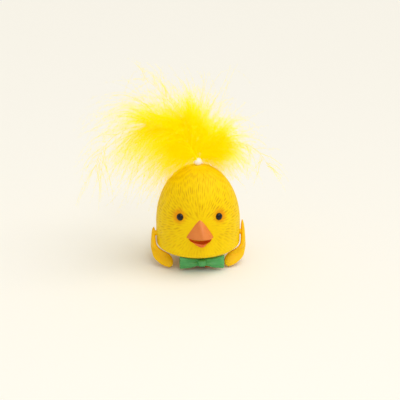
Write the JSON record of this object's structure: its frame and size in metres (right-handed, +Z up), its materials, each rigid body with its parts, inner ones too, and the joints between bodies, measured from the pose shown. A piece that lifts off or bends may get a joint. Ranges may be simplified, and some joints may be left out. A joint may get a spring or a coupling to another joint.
{
  "type": "wind-up hopping chick",
  "caption": "Egg-shaped wind-up chick with a clockwork motor, rocking webbed feet, two hinged wings, a bow tie and a feather crest.",
  "frame": {"origin": "middle of the flat sole of the foot plate, which is on the floor", "axes": "+Z up and the chick looks along -Y; left and right in names are as seen from the front, so left is -X"},
  "size_m": [0.0794, 0.0517, 0.0862],
  "materials": {
    "yellow_shell": "satin",
    "bead_black": "gloss",
    "beak_orange": "satin",
    "mouth_red": "satin",
    "bow_green": "satin",
    "wing_yellow": "satin",
    "plug_white": "gloss",
    "quill_horn": "satin",
    "plume_down": "matte",
    "motor_plate": "satin",
    "screw_steel": "satin",
    "spring_steel": "satin",
    "arbor_steel": "polished",
    "key_yellow": "gloss",
    "wheel_brass": "satin",
    "wheel_nylon": "satin",
    "foot_orange": "satin"
  },
  "bodies": {
    "root": {"front_shell": "yellow_shell", "rear_shell": "yellow_shell", "shell_screws": "screw_steel", "left_eye": "bead_black", "right_eye": "bead_black", "upper_beak": "beak_orange", "lower_beak": "mouth_red", "bow_tie": "bow_green", "crest_plug": "plug_white", "left_quill": "quill_horn", "top_quill": "quill_horn", "right_quill": "quill_horn", "left_plume": "plume_down", "top_plume": "plume_down", "right_plume": "plume_down", "front_motor_plate": "motor_plate", "rear_motor_plate": "motor_plate", "plate_screws": "screw_steel", "motor_screws": "screw_steel", "mainspring": "spring_steel", "foot_hinge_pin": "arbor_steel"},
    "winder": {"winding_arbor": "arbor_steel", "click_spring": "spring_steel", "winding_key": "key_yellow"},
    "great": {"great_wheel": "wheel_brass"},
    "second": {"second_wheel": "wheel_nylon", "second_arbor": "arbor_steel"},
    "cam": {"cam_wheel": "wheel_nylon", "cam_arbor": "arbor_steel", "hop_cam": "wheel_nylon"},
    "governor": {"governor_pinion": "wheel_nylon", "governor_arbor": "arbor_steel", "governor_flywheel": "wheel_brass"},
    "feet": {"foot_plate": "foot_orange"},
    "left_wing": {"left_wing": "wing_yellow"},
    "right_wing": {"right_wing": "wing_yellow"}
  },
  "joints": [
    {"name": "foot_hinge", "type": "hinge", "parent": "root", "child": "feet", "pos_m": [0, 0.0066, 0.006], "axis": [1, 0, 0], "range_deg": [0, 12]},
    {"name": "great_turn", "type": "hinge", "parent": "root", "child": "great", "pos_m": [0, 0, 0.0275], "axis": [0, 1, 0], "range_deg": [0, 29.77]},
    {"name": "second_turn", "type": "hinge", "parent": "root", "child": "second", "pos_m": [0.0085, 0, 0.01975], "axis": [0, 1, 0], "range_deg": [-107.15, 0]},
    {"name": "cam_turn", "type": "hinge", "parent": "root", "child": "cam", "pos_m": [0, 0, 0.0155], "axis": [0, 1, 0], "range_deg": [0, 300]},
    {"name": "governor_turn", "type": "hinge", "parent": "root", "child": "governor", "pos_m": [-0.00821, 0, 0.0177], "axis": [0, 1, 0], "range_deg": [-720.01, 0]},
    {"name": "winding", "type": "hinge", "parent": "root", "child": "winder", "pos_m": [0, 0, 0.0275], "axis": [0, -1, 0], "range_deg": [0, 1440], "deforming": ["mainspring", "click_spring"]},
    {"name": "left_wing_hinge", "type": "hinge", "parent": "root", "child": "left_wing", "pos_m": [-0.019, -0.002, 0.0145], "axis": [1, 0, 0], "range_deg": [-12, 4]},
    {"name": "right_wing_hinge", "type": "hinge", "parent": "root", "child": "right_wing", "pos_m": [0.019, -0.002, 0.0145], "axis": [1, 0, 0], "range_deg": [-12, 4]}
  ],
  "couplings": [
    {"joint": "cam_turn", "follows": "foot_hinge", "ratio": 25},
    {"joint": "great_turn", "follows": "foot_hinge", "ratio": 2.4802},
    {"joint": "second_turn", "follows": "foot_hinge", "ratio": -8.9286},
    {"joint": "governor_turn", "follows": "foot_hinge", "ratio": -60}
  ]
}
